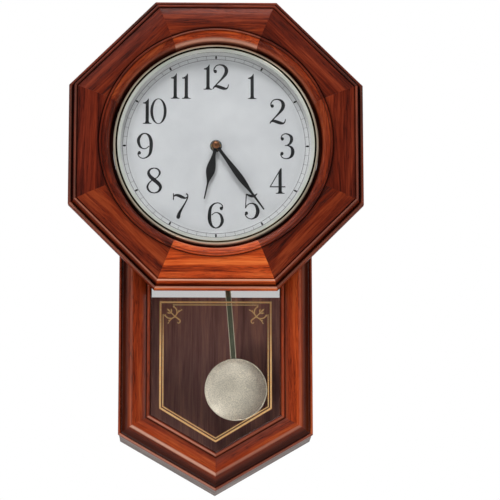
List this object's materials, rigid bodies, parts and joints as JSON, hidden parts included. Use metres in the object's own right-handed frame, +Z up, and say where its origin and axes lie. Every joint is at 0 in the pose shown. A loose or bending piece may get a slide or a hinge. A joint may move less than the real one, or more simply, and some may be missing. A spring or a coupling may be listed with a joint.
{
  "type": "wall clock",
  "caption": "Octagonal schoolhouse wall clock in stained oak with a round numbered dial, brass bezel, V-bottomed glazed lower case and a swinging disc pendulum",
  "frame": {"origin": "centre of the keyhole in the steel hanger plate, on the wall plane", "axes": "+X to the viewer's right, +Z up, -Y out of the wall towards the viewer, so +Y points into the wall"},
  "size_m": [0.362, 0.118, 0.6041],
  "materials": {
    "oak_rail": "stained open-grain oak, satin lacquer",
    "oak_case": "stained oak case boards, satin lacquer",
    "walnut_panel": "dark stained panel",
    "raw_wood": "unfinished softwood and plywood inside the case",
    "clear_glass": "clear flat or domed glass",
    "dial_white": "printed off-white dial plate, satin",
    "polished_brass": "polished rolled brass",
    "machined_brass": "turned brass",
    "black_hand": "black painted sheet",
    "movement_plastic": "black moulded plastic",
    "gear_plastic": "natural moulded acetal",
    "circuit": "green printed circuit board",
    "copper_wire": "enamelled copper winding",
    "battery_case": "plain printed cell wrapper, no marks",
    "steel": "zinc plated steel",
    "magnet": "nickel plated magnet",
    "rod_steel": "dark grey-green lacquered strip",
    "bob_metal": "brushed champagne metal with a polished rim",
    "rubber": "soft black rubber"
  },
  "bodies": {
    "case": {"head_rail_top": "oak_rail", "head_rail_top_right": "oak_rail", "head_rail_right": "oak_rail", "head_rail_bottom_right": "oak_rail", "head_rail_bottom": "oak_rail", "head_rail_bottom_left": "oak_rail", "head_rail_left": "oak_rail", "head_rail_top_left": "oak_rail", "frame_stile_left": "oak_rail", "frame_stile_right": "oak_rail", "frame_v_rail_left": "oak_rail", "frame_v_rail_right": "oak_rail", "frame_top_rail": "oak_rail", "side_board_left": "oak_case", "side_board_right": "oak_case", "top_board": "oak_case", "bottom_board_left": "oak_case", "bottom_board_right": "oak_case", "glass_beads": "oak_case", "back_panel": "walnut_panel", "back_panel_screws": "steel", "hanger_plate": "steel", "hanger_screws": "steel", "dial_board_screws": "steel", "movement_cover_screws": "steel", "battery_contacts": "steel", "pendulum_pin": "steel", "wall_bumpers": "rubber", "glass_gasket": "rubber", "glue_blocks": "raw_wood", "hanger_rail": "raw_wood", "dial_board": "raw_wood", "lower_glass": "clear_glass", "dial_glass": "clear_glass", "dial_plate": "dial_white", "bezel": "polished_brass", "bezel_pins": "polished_brass", "bush_washer": "polished_brass", "movement_bush": "machined_brass", "bush_nut": "machined_brass", "movement_case": "movement_plastic", "movement_cover": "movement_plastic", "circuit_board": "circuit", "motor_coil": "copper_wire", "drive_coil": "copper_wire", "battery": "battery_case"},
    "hour": {"hour_wheel": "gear_plastic", "hour_hand": "black_hand"},
    "minute": {"minute_arbor": "machined_brass", "minute_hand": "black_hand", "hand_nut": "machined_brass"},
    "set_arbor": {"minute_wheel": "gear_plastic", "set_knob": "gear_plastic"},
    "pendulum": {"pendulum_hanger": "movement_plastic", "pendulum_magnet": "magnet", "pendulum_rod": "rod_steel", "pendulum_bob": "bob_metal", "bob_back": "bob_metal", "bob_clips": "steel"}
  },
  "joints": [
    {"name": "minute_turn", "type": "hinge", "parent": "case", "child": "minute", "pos_m": [0, -0.08, -0.104], "axis": [0, 1, 0], "continuous": true},
    {"name": "hour_turn", "type": "hinge", "parent": "case", "child": "hour", "pos_m": [0, -0.085, -0.104], "axis": [0, 1, 0], "continuous": true},
    {"name": "set_arbor_turn", "type": "hinge", "parent": "case", "child": "set_arbor", "pos_m": [-0.012, -0.07, -0.104], "axis": [0, 1, 0], "continuous": true},
    {"name": "pendulum_swing", "type": "hinge", "parent": "case", "child": "pendulum", "pos_m": [0, -0.0477, -0.08], "axis": [0, 1, 0], "range_deg": [-1.5, 10.5]}
  ],
  "couplings": [
    {"joint": "hour_turn", "follows": "minute_turn", "ratio": 0.083333},
    {"joint": "set_arbor_turn", "follows": "minute_turn", "ratio": -0.33333}
  ]
}
